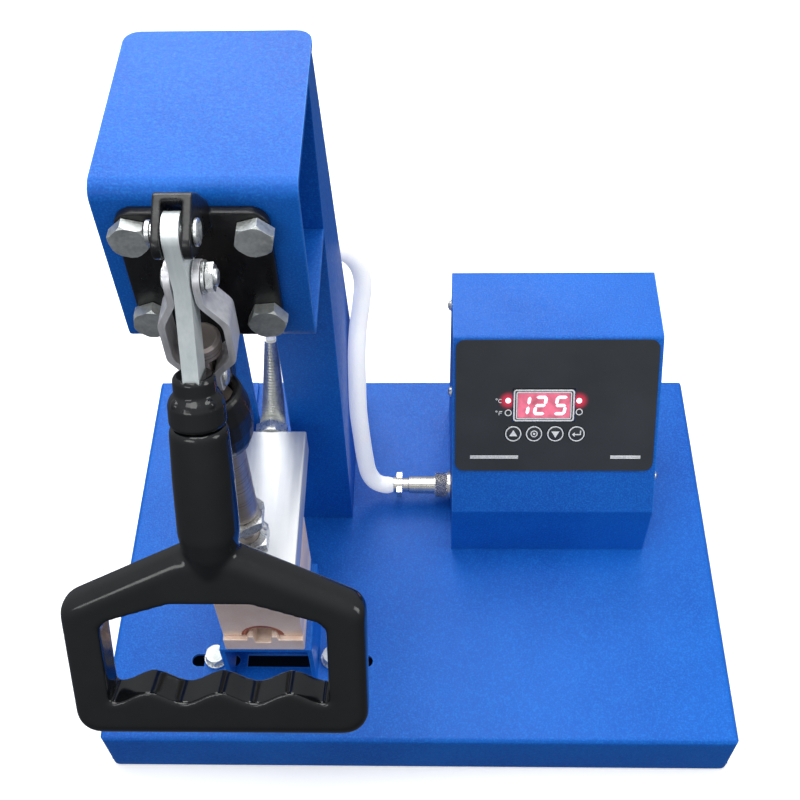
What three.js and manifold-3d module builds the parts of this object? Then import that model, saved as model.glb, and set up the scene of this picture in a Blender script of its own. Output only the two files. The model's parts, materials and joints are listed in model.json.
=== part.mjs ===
// Pen heat press: a toggle clamp on a column presses a heated block onto a fixed lower block.
// Millimetres, +Z up, -Y is the front. Positions are from the centre of the base's footprint, on
// the table; the whole group is then moved back so that the origin is under the object's middle.
import * as THREE from 'three';
import { mergeVertices } from 'three/addons/utils/BufferGeometryUtils.js';
import Module from 'manifold-3d';

const wasm = await Module();
wasm.setup();

// ---------------------------------------------------------------- driving dimensions
const GAP = 0.3; // clearance between touching pieces
const ORIGIN_SHIFT = 29.3; // puts the origin under the middle of the whole object
const BASE = { w: 420, d: 300, top: 46.5, bottom: 2, sheet: 2.5, corner: 5, bend: 4 };
const COLUMN = { x: -95.5, w: 93.2, front: 21, sheet: 3, backTop: 45, backFoot: 147.5, slotW: 20 };
const HEAD = { front: -55.3, back: 57.5, top: 444.4, bottom: 341.7, sheet: 3, bend: 8 };
const BOX = { x0: 23.6, x1: 161.9, front: -5.5, lip: 97.6, shelf: 63.7, top: 203, back: 123.3, sheet: 1.5 };

const PRESS_X = -97.5; // centre plane of the clamp and of the blocks
const PRESS_Y = -89; // plunger axis
const PIVOT_A = 451; // lever on the clevis
const PIVOT_B = 424; // links on the lever
const PIVOT_C = 357; // links on the plunger
const HANDLE_ANGLE = THREE.MathUtils.degToRad(27); // handle, forward of straight down
const HANDLE_OFFSET = -1.2; // handle's centre line, from the clamp's

const CLAMP = { plateW: 70, plateT: 5, plateZ: [352, 434.5], sleeveZ: [302, 345], rodR: 10 };
const BOLT_X = 28; // clamp bolts, each side of the centre
const BOLT_Z = [367, 422.5];
const BOLT_TURN = [8, 24, -14, 12]; // degrees, so that the four heads stand at odd angles

const BLOCK_W = 51.2;
const CARRIER = { y: [-106, 7.5], z: [153.8, 175.3] };
const HEATER = { y: [-106, -43], z: [110.8, 153.5] };
const LOWER = { y: [-109, -43], z: [97, 110.5] };
const GROOVE_R = 11; // half-round groove, lined with silicone
const LINER_T = 2.6;
const BRACKET = { legX: 29.9, t: 3, flange: 18, y: [-109, -46] };
const SLOT_Y = -93.3; // slots in the base
const GLAND = { x: -95.2, z: 167 };
const PLUG = { y: 40, z: 62 };
const CABLE_R = 6.3;

// ---------------------------------------------------------------- materials
const paint = (color, roughness, metalness) =>
  new THREE.MeshStandardMaterial({ color, roughness, metalness });
const BLUE = paint(0x1146b4, 0.45, 0.1);
const ZINC = paint(0xb9bec2, 0.32, 0.9);
const STEEL = paint(0xa7aaad, 0.35, 0.95);
const ROD = paint(0x6d6663, 0.3, 0.95);
const ALUMINIUM = paint(0xd5d8da, 0.35, 0.9);
const BLACK_CAST = paint(0x0d0d0f, 0.35, 0.3);
const BLACK_PLASTIC = paint(0x111214, 0.25, 0.0);
const BLACK_LABEL = paint(0x15161a, 0.4, 0.0);
const RUBBER = paint(0x1b1b1b, 0.85, 0.0);
const SILICONE = paint(0x8a2a18, 0.6, 0.0);
const SLEEVE = paint(0xeff0ee, 0.75, 0.0);
const BOARD = paint(0x1d5c34, 0.6, 0.0);
const DISPLAY = paint(0xb01818, 0.25, 0.0);

// ---------------------------------------------------------------- solid helpers
/** Closed three.js geometry -> manifold solid. */
function solid(geometry) {
  const g = geometry.index ? geometry.toNonIndexed() : geometry.clone();
  g.deleteAttribute('normal');
  g.deleteAttribute('uv');
  const merged = mergeVertices(g, 1e-4);
  const mesh = new wasm.Mesh({
    numProp: 3,
    vertProperties: new Float32Array(merged.attributes.position.array),
    triVerts: new Uint32Array(merged.index.array),
  });
  return new wasm.Manifold(mesh);
}

/** Manifold solid -> three.js geometry. */
function geometryOf(shape) {
  const mesh = shape.getMesh();
  const g = new THREE.BufferGeometry();
  g.setAttribute('position', new THREE.BufferAttribute(new Float32Array(mesh.vertProperties), 3));
  g.setIndex(new THREE.BufferAttribute(new Uint32Array(mesh.triVerts), 1));
  g.computeVertexNormals();
  return g;
}

/** Box between two corners. */
function box([x0, x1], [y0, y1], [z0, z1]) {
  const g = new THREE.BoxGeometry(x1 - x0, y1 - y0, z1 - z0);
  return solid(g.translate((x0 + x1) / 2, (y0 + y1) / 2, (z0 + z1) / 2));
}

/** Turns geometry made along +Z so that it runs along the named axis. */
function along(geometry, axis) {
  if (axis === 'x') geometry.rotateY(Math.PI / 2);
  if (axis === 'y') geometry.rotateX(-Math.PI / 2);
  return geometry;
}

/** Cylinder or cone from `at`, running h along an axis; r1 is the far radius. */
function cyl(r, h, at, axis = 'z', r1 = r, sides = 20) {
  const g = new THREE.CylinderGeometry(r1, r, h, sides).rotateX(Math.PI / 2).translate(0, 0, h / 2);
  return solid(along(g, axis).translate(...at));
}

/** Hexagonal prism from `at`, with width across flats af. */
function hex(af, h, at, axis = 'z') {
  return cyl(af / Math.sqrt(3), h, at, axis, af / Math.sqrt(3), 6);
}

/** Solid of revolution about an axis through `at`, from [radius, distance] pairs. */
function turned(profile, at, axis = 'z', sides = 22) {
  const points = profile.map(([r, z]) => new THREE.Vector2(r, z));
  const g = new THREE.LatheGeometry(points, sides).rotateX(Math.PI / 2);
  return solid(along(g, axis).translate(...at));
}

/** Outline with rounded corners from [a, b, radius] points. */
function rounded(points, steps = 5) {
  const shape = new THREE.Path();
  const n = points.length;
  points.forEach(([x, y, r = 0], i) => {
    const here = new THREE.Vector2(x, y);
    const before = new THREE.Vector2(...points[(i + n - 1) % n].slice(0, 2)).sub(here).normalize();
    const after = new THREE.Vector2(...points[(i + 1) % n].slice(0, 2)).sub(here).normalize();
    const cut = r / Math.tan(Math.acos(before.dot(after)) / 2);
    const start = here.clone().addScaledVector(before, cut);
    const end = here.clone().addScaledVector(after, cut);
    if (i === 0) shape.moveTo(start.x, start.y);
    else shape.lineTo(start.x, start.y);
    if (r > 0) {
      const centre = before.clone().add(after).normalize();
      centre.multiplyScalar(Math.hypot(cut, r)).add(here);
      const a0 = Math.atan2(start.y - centre.y, start.x - centre.x);
      let sweep = Math.atan2(end.y - centre.y, end.x - centre.x) - a0;
      if (sweep > Math.PI) sweep -= 2 * Math.PI;
      if (sweep < -Math.PI) sweep += 2 * Math.PI;
      for (let k = 1; k <= steps; k += 1) {
        const a = a0 + (sweep * k) / steps;
        shape.lineTo(centre.x + r * Math.cos(a), centre.y + r * Math.sin(a));
      }
    }
  });
  return new THREE.Shape(shape.getPoints());
}

const rectangle = (a0, a1, b0, b1, r) => rounded([[a0, b0, r], [a1, b0, r], [a1, b1, r], [a0, b1, r]]);

/** Outline in (x, y), extruded from z0 to z1. */
function prismZ(shape, z0, z1) {
  const g = new THREE.ExtrudeGeometry(shape, { depth: z1 - z0, bevelEnabled: false });
  return solid(g.translate(0, 0, z0));
}

/** Outline in (y, z), extruded from x0 to x1. */
function prismX(shape, x0, x1) {
  const g = new THREE.ExtrudeGeometry(shape, { depth: x1 - x0, bevelEnabled: false });
  g.applyMatrix4(new THREE.Matrix4().set(0, 0, 1, x0, 1, 0, 0, 0, 0, 1, 0, 0, 0, 0, 0, 1));
  return solid(g);
}

/** Outline in (x, z), extruded from y0 to y1. */
function prismY(shape, y0, y1) {
  const g = new THREE.ExtrudeGeometry(shape, { depth: y1 - y0, bevelEnabled: false });
  g.applyMatrix4(new THREE.Matrix4().set(1, 0, 0, 0, 0, 0, -1, y1, 0, 1, 0, 0, 0, 0, 0, 1));
  return solid(g);
}

/** Bar with round ends between two (y, z) points, in the given x range. */
function bar([y0, z0], [y1, z1], halfWidth, [x0, x1]) {
  const dir = new THREE.Vector2(y1 - y0, z1 - z0).normalize();
  const side = new THREE.Vector2(-dir.y, dir.x).multiplyScalar(halfWidth);
  const outline = new THREE.Shape([
    new THREE.Vector2(y0 + side.x, z0 + side.y),
    new THREE.Vector2(y0 - side.x, z0 - side.y),
    new THREE.Vector2(y1 - side.x, z1 - side.y),
    new THREE.Vector2(y1 + side.x, z1 + side.y),
  ]);
  return prismX(outline, x0, x1)
    .add(cyl(halfWidth, x1 - x0, [x0, y0, z0], 'x'))
    .add(cyl(halfWidth, x1 - x0, [x0, y1, z1], 'x'));
}

/** Folded sheet: a polyline in 2D thickened to one side, as a list of outline points. */
function sheetProfile(points, t, radius) {
  const outer = points.map(([a, b], i) => [a, b, i > 0 && i < points.length - 1 ? radius : 0]);
  const inner = points.map(([a, b], i) => {
    const p = new THREE.Vector2(a, b);
    const dirs = [];
    if (i > 0) dirs.push(p.clone().sub(new THREE.Vector2(...points[i - 1])).normalize());
    if (i < points.length - 1) dirs.push(new THREE.Vector2(...points[i + 1]).sub(p).normalize());
    const normals = dirs.map((d) => new THREE.Vector2(d.y, -d.x));
    const mid = normals.reduce((s, v) => s.add(v), new THREE.Vector2()).normalize();
    const length = t / mid.dot(normals[0]);
    const q = p.addScaledVector(mid, length);
    return [q.x, q.y, dirs.length === 2 ? Math.max(radius - t, 0.4) : 0];
  });
  return rounded([...outer, ...inner.reverse()], 4);
}

const group = new THREE.Group();

/** Adds one named sub-part to the model. */
function part(name, shape, material) {
  const mesh = new THREE.Mesh(geometryOf(shape), material);
  mesh.name = name;
  group.add(mesh);
}

// ---------------------------------------------------------------- base
/** Folded steel tray, open below, with a round-ended slot each side and a square one between. */
function baseTray() {
  const { w, d, top, bottom, sheet, corner, bend } = BASE;
  const body = (inset, crown) => {
    const x = w / 2 - inset;
    const y = d / 2 - inset;
    const z = top - inset;
    const plan = prismZ(rectangle(-x, x, -y, y, corner - inset * 0.5), -20, z);
    const front = rounded([[-x, -20], [x, -20], [x, z, crown], [-x, z, crown]]);
    const side = rounded([[-y, -20], [y, -20], [y, z, crown], [-y, z, crown]]);
    return plan.intersect(prismY(front, -y, y)).intersect(prismX(side, -x, x));
  };
  let tray = body(0, bend).subtract(body(sheet, bend - sheet + 0.5));
  for (const sx of [-1, 1]) {
    for (const sy of [-1, 1]) {
      const x = sx * (w / 2 - 1.2);
      const y = sy * (d / 2 - 1.2);
      const span = (v, s) => [Math.min(v, v - s * 42), Math.max(v, v - s * 42)];
      tray = tray.add(box(span(x, sx), span(y, sy), [8, 10.5]));
    }
  }
  tray = tray.intersect(box([-w, w], [-d, d], [bottom, top + 1]));
  const slot = (x0, x1, r) => prismZ(rectangle(x0, x1, SLOT_Y - 4.6, SLOT_Y + 4.6, r), 30, 60);
  return tray
    .subtract(slot(-154.8, -121.5, 4.5))
    .subtract(slot(-63, -30.6, 4.5))
    .subtract(slot(-116.5, -69.5, 0.4));
}

/** Round rubber foot under one corner plate of the tray. */
function foot(sx, sy) {
  const profile = [[0, 0], [10, 0], [11.5, 1.5], [12.5, 7.7], [0, 7.7]];
  return turned(profile, [sx * (BASE.w / 2 - 24), sy * (BASE.d / 2 - 24), 0], 'z', 24);
}

part('base_tray', baseTray(), BLUE);
for (const [side, sx] of [['left', -1], ['right', 1]]) {
  for (const [end, sy] of [['front', -1], ['back', 1]]) {
    part(`foot_${end}_${side}`, foot(sx, sy), RUBBER);
  }
}

// ---------------------------------------------------------------- column and head
/** Column: a channel open at the back, whose side flanges widen towards the base. */
function column() {
  const { x, w, front, sheet, backTop, backFoot, slotW } = COLUMN;
  const z0 = BASE.top + GAP;
  const z1 = HEAD.top - HEAD.sheet - GAP;
  const side = rounded([[front, z0], [backFoot, z0, 4], [backTop, z1, 3], [front, z1]]);
  let channel = prismX(side, x - w / 2, x + w / 2);
  channel = channel.subtract(box(
    [x - w / 2 + sheet, x + w / 2 - sheet], [front + sheet, 200], [z0 + sheet, z1 + 20],
  ));
  channel = channel.subtract(box([x - 34, x + 34], [front + 30, 200], [z0 - 5, z0 + 20]));
  const slot = prismY(rectangle(x + 1 - slotW / 2, x + 1 + slotW / 2, 152, 330, 3), front - 5, front + 10);
  return channel.subtract(slot);
}

/** Head: one sheet folded into top, front and bottom, open at both sides. */
function headShell() {
  const { front, back, top, bottom, sheet, bend } = HEAD;
  const { x, w } = COLUMN;
  const profile = sheetProfile(
    [[back, top], [front, top], [front, bottom], [COLUMN.front - GAP, bottom]].reverse(), sheet, bend,
  );
  const plan = rounded([
    [x - w / 2, front - 5], [x + w / 2, front - 5], [x + w / 2, back, 8], [x - w / 2, back, 8],
  ]);
  let shell = prismX(profile, x - w / 2, x + w / 2).intersect(prismZ(plan, 300, 500));
  for (const sx of [-1, 1]) {
    for (const z of BOLT_Z) {
      shell = shell.subtract(cyl(5.3, 20, [PRESS_X + sx * BOLT_X, front - 8, z], 'y', 5.3, 20));
    }
  }
  return shell;
}

part('column', column(), BLUE);
part('head_shell', headShell(), BLUE);

// ---------------------------------------------------------------- toggle clamp, fixed part
/** Cast clamp body: flange plate, clevis and guide sleeve. */
function clampBody() {
  const back = HEAD.front - GAP;
  const face = back - CLAMP.plateT;
  const [z0, z1] = CLAMP.plateZ;
  const half = CLAMP.plateW / 2;
  let body = prismY(rectangle(PRESS_X - half, PRESS_X + half, z0, z1, 9), face, back);
  const cheek = rounded([
    [back - 1, 424], [PRESS_Y + 6, 438.8, 3], [PRESS_Y, 438.8, 4], [PRESS_Y - 12.2, 446, 6],
    [PRESS_Y - 10.5, 454, 6], [-79.5, 464.5, 3], [-71, 456.5, 4], [back - 1, 438],
  ]);
  body = body.add(prismX(cheek, PRESS_X - 7.9, PRESS_X + 8.8));
  const mouth = rounded([
    [-66, 400], [-150, 400], [-150, 470], [PRESS_Y + 4, 470], [PRESS_Y + 9, 457], [-74, 450, 3], [-66, 440],
  ]);
  body = body.subtract(prismX(mouth, PRESS_X - 4, PRESS_X + 4.7));
  body = body.subtract(cyl(4.3, 40, [PRESS_X - 20, PRESS_Y, PIVOT_A], 'x', 4.3, 20));
  const [s0, s1] = CLAMP.sleeveZ;
  const sleeve = turned(
    [
      [0, s0], [12.2, s0], [14.6, s0 + 2.5], [16.6, s0 + 9], [17.6, s0 + 18],
      [17.2, s1 - 14], [14.6, s1 - 2], [13, s1], [0, s1],
    ],
    [PRESS_X, PRESS_Y, 0],
  );
  const web = prismX(rounded([
    [PRESS_Y + 5, s0 + 5], [face + 1, z0 + 3], [face + 1, z0 + 26], [face - 3, z0 + 26, 2],
    [PRESS_Y + 8, s1 - 1],
  ]), PRESS_X - 9, PRESS_X + 9);
  body = body.add(sleeve).add(web);
  body = body.subtract(cyl(CLAMP.rodR + 0.35, 90, [PRESS_X, PRESS_Y, s0 - 10], 'z', CLAMP.rodR + 0.35, 32));
  for (const sx of [-1, 1]) {
    for (const z of BOLT_Z) {
      body = body.subtract(cyl(5.3, 20, [PRESS_X + sx * BOLT_X, face - 5, z], 'y', 5.3, 20));
    }
  }
  return body;
}

/** M10 hex bolt, head forward, through the flange plate and the head's front sheet. */
function clampBolt(x, z, turn) {
  const seat = HEAD.front - GAP - CLAMP.plateT - GAP;
  const head = hex(17, 6.4, [0, seat - 6.4, 0], 'y').rotate([0, turn, 0]).translate([x, 0, z])
    .intersect(turned([[0, -0.5], [8.4, -0.5], [10.2, 1.6], [10.2, 8], [0, 8]], [x, seat - 6.4, z], 'y'));
  return head.add(cyl(5, 22, [x, seat - 0.5, z], 'y', 5, 20));
}

part('clamp_body', clampBody(), BLACK_CAST);
for (const [i, row] of ['lower', 'upper'].entries()) {
  for (const [k, side] of ['left', 'right'].entries()) {
    const x = PRESS_X + (2 * k - 1) * BOLT_X;
    part(`clamp_bolt_${row}_${side}`, clampBolt(x, BOLT_Z[i], BOLT_TURN[2 * i + k]), ZINC);
  }
}

/** Pin of the clevis, with a groove-ended left end and a broad head on the right. */
function clevisPin() {
  const half = 11.2;
  const profile = [
    [0, -half], [5.2, -half], [5.2, -9.2], [4, -9.2], [4, 9.2], [6, 9.2], [6, 10.6], [5, half], [0, half],
  ];
  return turned(profile, [PRESS_X, PRESS_Y, PIVOT_A], 'x', 24);
}

part('clevis_pin', clevisPin(), ZINC);

// ---------------------------------------------------------------- lever, handle and their bolt
const handleDir = new THREE.Vector2(-Math.sin(HANDLE_ANGLE), -Math.cos(HANDLE_ANGLE));
const onHandle = (distance) => [PRESS_Y + handleDir.x * distance, PIVOT_B + handleDir.y * distance];

/** Flat lever: eye at A, boss at B, then bent forward into the handle. */
function leverBar() {
  const x = [PRESS_X - 3.5, PRESS_X + 3.9];
  let lever = bar([PRESS_Y, PIVOT_A], [PRESS_Y, PIVOT_B], 8.8, x);
  lever = lever.add(bar([PRESS_Y, PIVOT_B], onHandle(62), 8, x));
  lever = lever.subtract(cyl(4.3, 20, [PRESS_X - 10, PRESS_Y, PIVOT_A], 'x', 4.3, 20));
  return lever.subtract(cyl(4.3, 20, [PRESS_X - 10, PRESS_Y, PIVOT_B], 'x', 4.3, 20));
}

/** D-handle in its own plane: u sideways, v along the lever from B. */
function handleLoop() {
  const outer = rounded([
    [14, 137.5], [76.2, 167.7, 12], [75.8, 248.3, 13], [-75.8, 248.3, 13], [-76.2, 167.7, 12], [-14, 137.5],
  ], 6);
  const bevel = { bevelEnabled: true, bevelThickness: 8, bevelSize: 7, bevelOffset: -7, bevelSegments: 4 };
  const body = new THREE.ExtrudeGeometry(outer, { depth: 4.4, ...bevel });
  const grip = [];
  for (let u = -56; u <= 56; u += 4) grip.push([u, 222.3 - 3.5 * Math.cos((u * 2 * Math.PI) / 36)]);
  const ceiling = [[56, 180], [52, 175.5], [20, 165], [-20, 165], [-52, 175.5], [-56, 180]];
  const opening = new THREE.Shape([...grip, ...ceiling].map(([u, v]) => new THREE.Vector2(u, v)));
  const loop = solid(body.translate(0, 0, -2.2)).subtract(prismZ(opening, -20, 20));
  return loop.translate([HANDLE_OFFSET, 0, 0]);
}

/** Maps the handle's own plane onto the lever: v runs down and forward from B. */
function placeHandle(shape) {
  const c = Math.cos(HANDLE_ANGLE);
  const s = Math.sin(HANDLE_ANGLE);
  // columns: u -> +X, v -> along the handle, w -> its normal
  return shape.transform([1, 0, 0, 0, 0, -s, -c, 0, 0, c, -s, 0, PRESS_X, PRESS_Y, PIVOT_B, 1]);
}

/** Moulded D-handle with its stem and the socket for the lever. */
function handle() {
  const stem = solid(new THREE.LatheGeometry([
    [0, 71], [13, 71], [13.9, 73], [14.8, 100], [15.1, 128], [13.6, 139], [10.6, 150], [6, 160], [0, 164],
  ].map(([r, v]) => new THREE.Vector2(r, v)), 28));
  const whole = placeHandle(stem.add(handleLoop()));
  return whole.subtract(placeHandle(box([-3.9, 4.3], [0, 73.5], [-8.4, 8.4])));
}

/** Collar between lever and handle: a neck and a thick ring with four lugs. */
function handleCollar() {
  let ring = solid(new THREE.LatheGeometry([
    [0, 46], [8.8, 46], [9.9, 48], [10, 54.5], [12.2, 57.5], [13.2, 60], [13.4, 69], [12.6, 70.6], [0, 70.6],
  ].map(([r, v]) => new THREE.Vector2(r, v)), 28));
  for (let i = 0; i < 4; i += 1) {
    const a = (i + 0.5) * (Math.PI / 2);
    const lug = new THREE.SphereGeometry(3, 10, 8).translate(10.2 * Math.cos(a), 58, 10.2 * Math.sin(a));
    ring = ring.add(solid(lug));
  }
  ring = placeHandle(ring);
  return ring.subtract(placeHandle(box([-3.9, 4.3], [30, 80], [-8.4, 8.4])));
}

part('lever_bar', leverBar(), STEEL);
part('handle_collar', handleCollar(), BLACK_PLASTIC);
part('handle', handle(), BLACK_PLASTIC);
/** Bolt, washer and nut that hold both links on the lever. */
function linkFastener() {
  const profile = [
    [0, -9.4], [4.6, -9.4], [5.4, -8.9], [5.4, -8.2], [4, -8.2], [4, 14.2], [3.4, 15], [0, 15],
  ];
  part('link_bolt', turned(profile, [PRESS_X, PRESS_Y, PIVOT_B], 'x', 24), ZINC);
  const at = (x) => [PRESS_X + x, PRESS_Y, PIVOT_B];
  const bore = cyl(4.3, 60, at(-30), 'x', 4.3, 20);
  part('link_washer', cyl(7.6, 1.4, at(8.3), 'x').subtract(bore), ZINC);
  part('link_nut', hex(12, 3.4, at(10), 'x').subtract(bore), ZINC);
}

linkFastener();

// ---------------------------------------------------------------- toggle links
const LINK = { t: 3.2, half: 8, inner: 4.7, bowLeft: 11.8, bowRight: 14.2 };

/** Bowed link strap on one side (side = -1 left, 1 right). */
function link(side) {
  const { t, half, inner, bowLeft, bowRight } = LINK;
  const bow = side < 0 ? bowLeft : bowRight;
  const near = (z) => [PRESS_X + side * inner, z];
  const far = (z) => [PRESS_X + side * bow, z];
  const points = [near(PIVOT_B + half), near(PIVOT_B - 10), far(PIVOT_B - 24), far(PIVOT_C + 20),
    near(PIVOT_C + 9.5), near(PIVOT_C - half)];
  const ordered = side > 0 ? points.reverse() : points;
  let strap = prismY(sheetProfile(ordered, t, 11), PRESS_Y - half, PRESS_Y + half);
  const outline = bar([PRESS_Y, PIVOT_B], [PRESS_Y, PIVOT_C], half, [PRESS_X - 30, PRESS_X + 30]);
  strap = strap.intersect(outline);
  strap = strap.subtract(cyl(4.3, 60, [PRESS_X - 30, PRESS_Y, PIVOT_B], 'x', 4.3, 20));
  return strap.subtract(cyl(4.3, 60, [PRESS_X - 30, PRESS_Y, PIVOT_C], 'x', 4.3, 20));
}

/** Half of the lower link pin: a headed stud that stops short of the plunger's tongue. */
function linkStud(side) {
  const profile = [[0, 4.5], [4, 4.5], [4, 8.2], [6, 8.2], [6, 9.2], [4.6, 10.2], [0, 10.2]];
  const stud = turned(profile, [0, 0, 0], 'x', 24);
  return (side > 0 ? stud : stud.rotate([0, 0, 180])).translate([PRESS_X, PRESS_Y, PIVOT_C]);
}

for (const [side, sx] of [['left', -1], ['right', 1]]) {
  part(`link_${side}`, link(sx), STEEL);
  part(`link_stud_${side}`, linkStud(sx), ZINC);
}

// ---------------------------------------------------------------- plunger and upper block
/** Guide rod with a flat tongue between the links, and a threaded end. */
function plungerRod() {
  const r = CLAMP.rodR;
  const foot = 234;
  let rod = turned([[0, CARRIER.z[0] + 6], [7, CARRIER.z[0] + 6], [7.8, CARRIER.z[0] + 8], [7.8, foot - 1],
    [r - 0.8, foot - 0.6], [r, foot + 0.6], [r, 383], [r - 1.5, 384.5], [0, 384.5]], [PRESS_X, PRESS_Y, 0]);
  for (const sx of [-1, 1]) {
    const near = PRESS_X + sx * 4.2;
    const out = PRESS_X + sx * 20;
    const x = [Math.min(near, out), Math.max(near, out)];
    rod = rod.subtract(box(x, [PRESS_Y - 20, PRESS_Y + 20], [PIVOT_C - 19, PIVOT_C + 19]));
  }
  return rod;
}

/** Hex nut on the threaded end. */
function rodNut(z, af, h) {
  const blank = hex(af, h, [PRESS_X, PRESS_Y, z]);
  const crown = turned([[0, z], [af * 0.51, z], [af * 0.6, z + h * 0.2], [af * 0.6, z + h * 0.8],
    [af * 0.51, z + h], [0, z + h]], [PRESS_X, PRESS_Y, 0]);
  return blank.intersect(crown).subtract(cyl(8.1, 60, [PRESS_X, PRESS_Y, z - 20]));
}

/** Aluminium block from its y and z spans, with small bevels along its length. */
function block({ y, z }, inset = 0) {
  const half = BLOCK_W / 2 - inset;
  const [z0, z1] = z;
  const section = rounded([
    [PRESS_X - half, z0, 1], [PRESS_X + half, z0, 1], [PRESS_X + half, z1, 1], [PRESS_X - half, z1, 1],
  ], 2);
  return prismY(section, y[0], y[1]);
}

/** Long carrier bar that the plunger pushes on. */
function carrierBar() {
  let shape = block(CARRIER).subtract(cyl(8.1, 40, [PRESS_X, PRESS_Y, CARRIER.z[0] + 5.7]));
  shape = shape.subtract(cyl(6.3, 30, [GLAND.x, CARRIER.y[1] - 14, GLAND.z], 'y', 6.3, 20));
  return shape;
}

/** Heating block with the half-round groove along its underside. */
function heaterBlock() {
  const groove = cyl(GROOVE_R + LINER_T, 90, [PRESS_X, -120, HEATER.z[0]], 'y', GROOVE_R + LINER_T, 32);
  return block(HEATER).subtract(groove);
}

/** Silicone liner in the groove. */
function liner() {
  const z = HEATER.z[0] + GAP;
  const r = GROOVE_R + LINER_T - GAP;
  const y0 = HEATER.y[0] + 0.5;
  const length = HEATER.y[1] - HEATER.y[0] - 1;
  const ring = cyl(r, length, [PRESS_X, y0, z], 'y', r, 32)
    .subtract(cyl(GROOVE_R - GAP, length + 10, [PRESS_X, y0 - 5, z], 'y', GROOVE_R - GAP, 32));
  return ring.intersect(box([PRESS_X - 40, PRESS_X + 40], [-140, 0], [z, z + 40]));
}

/** Cable gland on the back of the carrier bar. */
function gland() {
  const y = CARRIER.y[1];
  const spot = (d) => [GLAND.x, y + d, GLAND.z];
  return cyl(6, 13, spot(-12), 'y', 6, 20)
    .add(cyl(10.4, 1.8, spot(GAP), 'y'))
    .add(hex(20, 5.6, spot(2), 'y'))
    .add(cyl(8.6, 2.2, spot(7.5), 'y'))
    .subtract(cyl(4.4, 40, spot(-20), 'y', 4.4, 16));
}

part('plunger_rod', plungerRod(), ROD);
part('rod_nut_upper', rodNut(224.6, 24, 8.4), ZINC);
part('rod_nut_lower', rodNut(198, 24, 11.5), ZINC);
part('carrier_bar', carrierBar(), ALUMINIUM);
part('heater_block', heaterBlock(), ALUMINIUM);
part('silicone_liner', liner(), SILICONE);
part('gland', gland(), ZINC);

// ---------------------------------------------------------------- lower block and its bracket
/** Lower block: a low bar with a raised land that carries the pen notch. */
function lowerBlock() {
  const r = GROOVE_R - 0.9;
  const { y, z } = LOWER;
  const land = cyl(r, y[1] - y[0], [PRESS_X, y[0], z[1]], 'y', r, 32)
    .intersect(box([PRESS_X - 30, PRESS_X + 30], [y[0], y[1]], [z[1] - 1, z[1] + 4.6]));
  const floor = z[1] - 3.6;
  const notch = prismY(rounded([
    [PRESS_X - 6.2, z[1] + 9], [PRESS_X - 5, floor, 1], [PRESS_X + 5, floor, 1], [PRESS_X + 6.2, z[1] + 9],
  ]), y[0] - 5, y[1] + 5);
  return block(LOWER).add(land).subtract(notch);
}

/** Bridge-shaped bracket with outturned feet. */
function supportBracket() {
  const { legX, t, flange, y } = BRACKET;
  const foot = BASE.top + GAP;
  const top = LOWER.z[0] - GAP;
  const points = [[-legX - flange, foot + t], [-legX, foot + t], [-legX, top], [legX, top], [legX, foot + t],
    [legX + flange, foot + t]].map(([x, z]) => [PRESS_X + x, z]);
  const outline = sheetProfile(points, t, 1.2);
  let shape = prismY(outline, y[0], y[1]);
  const plan = rounded([[PRESS_X - legX - flange, y[0], 4], [PRESS_X + legX + flange, y[0], 4],
    [PRESS_X + legX + flange, y[1], 4], [PRESS_X - legX - flange, y[1], 4]]);
  shape = shape.intersect(prismZ(plan, 0, 300));
  for (const sx of [-1, 1]) {
    shape = shape.subtract(cyl(4.3, 40, [PRESS_X + sx * 39.8, SLOT_Y, 30], 'z', 4.3, 20));
  }
  return shape;
}

part('support_bracket', supportBracket(), BLUE);
part('lower_block', lowerBlock(), ALUMINIUM);
for (const [side, sx] of [['left', -1], ['right', 1]]) {
  const at = [PRESS_X + sx * 39.8, SLOT_Y, 0];
  const z = BASE.top + 2 * GAP + BRACKET.t;
  const washer = cyl(8.2, 1.6, [at[0], at[1], z]).subtract(cyl(4.3, 20, [at[0], at[1], z - 9]));
  part(`bracket_washer_${side}`, washer, ZINC);
  const head = z + 1.6 + GAP;
  part(`bracket_bolt_${side}`, hex(13, 5.3, [at[0], at[1], head])
    .intersect(turned([[0, head], [7.6, head], [7.6, head + 4], [6.4, head + 5.3], [0, head + 5.3]], at))
    .add(cyl(4, 26, [at[0], at[1], head - 25.5], 'z', 4, 20)), ZINC);
}

// ---------------------------------------------------------------- control box
const slantDir = new THREE.Vector2(BOX.shelf - BOX.front, BOX.top - BOX.lip).normalize();
const slantOut = new THREE.Vector2(-slantDir.y, slantDir.x);
/** (y, z) of a point `up` the slanted panel from its lower edge and `out` of its face. */
const onPanel = (up, out) => [
  BOX.front + slantDir.x * up + slantOut.x * out,
  BOX.lip + slantDir.y * up + slantOut.y * out,
];
/** Places a shape made on the XY plane (x across, y up the slant, z out) onto the panel. */
function placeOnPanel(shape) {
  return shape.transform([1, 0, 0, 0, 0, slantDir.x, slantDir.y, 0, 0, slantOut.x, slantOut.y, 0,
    0, BOX.front, BOX.lip, 1]);
}
const BOX_MID = (BOX.x0 + BOX.x1) / 2;
const KEYS = [['up', 64.5], ['ok', 78.5], ['down', 92.8], ['enter', 107]];
const KEY_UP = 58.6; // keys' height up the slant
const WINDOW = { x: [63.8, 105.2], up: [67.3, 90.5] };
// (y, z) of the cover's side screws
const COVER_SCREWS = {
  back_left: [104, 189], front_left: [60, 149], back_right: [104, 189], front_right: [15, 113],
};

/** Clearance holes for the side screws, in the cover and in the floor's side flanges. */
function coverScrewHoles() {
  const drill = ([side, [y, z]]) => {
    const x = side.endsWith('left') ? BOX.x0 : BOX.x1;
    return cyl(1.9, 20, [x - 10, y, z], 'x', 1.9, 12);
  };
  return Object.entries(COVER_SCREWS).map(drill).reduce((all, one) => all.add(one));
}

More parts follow.
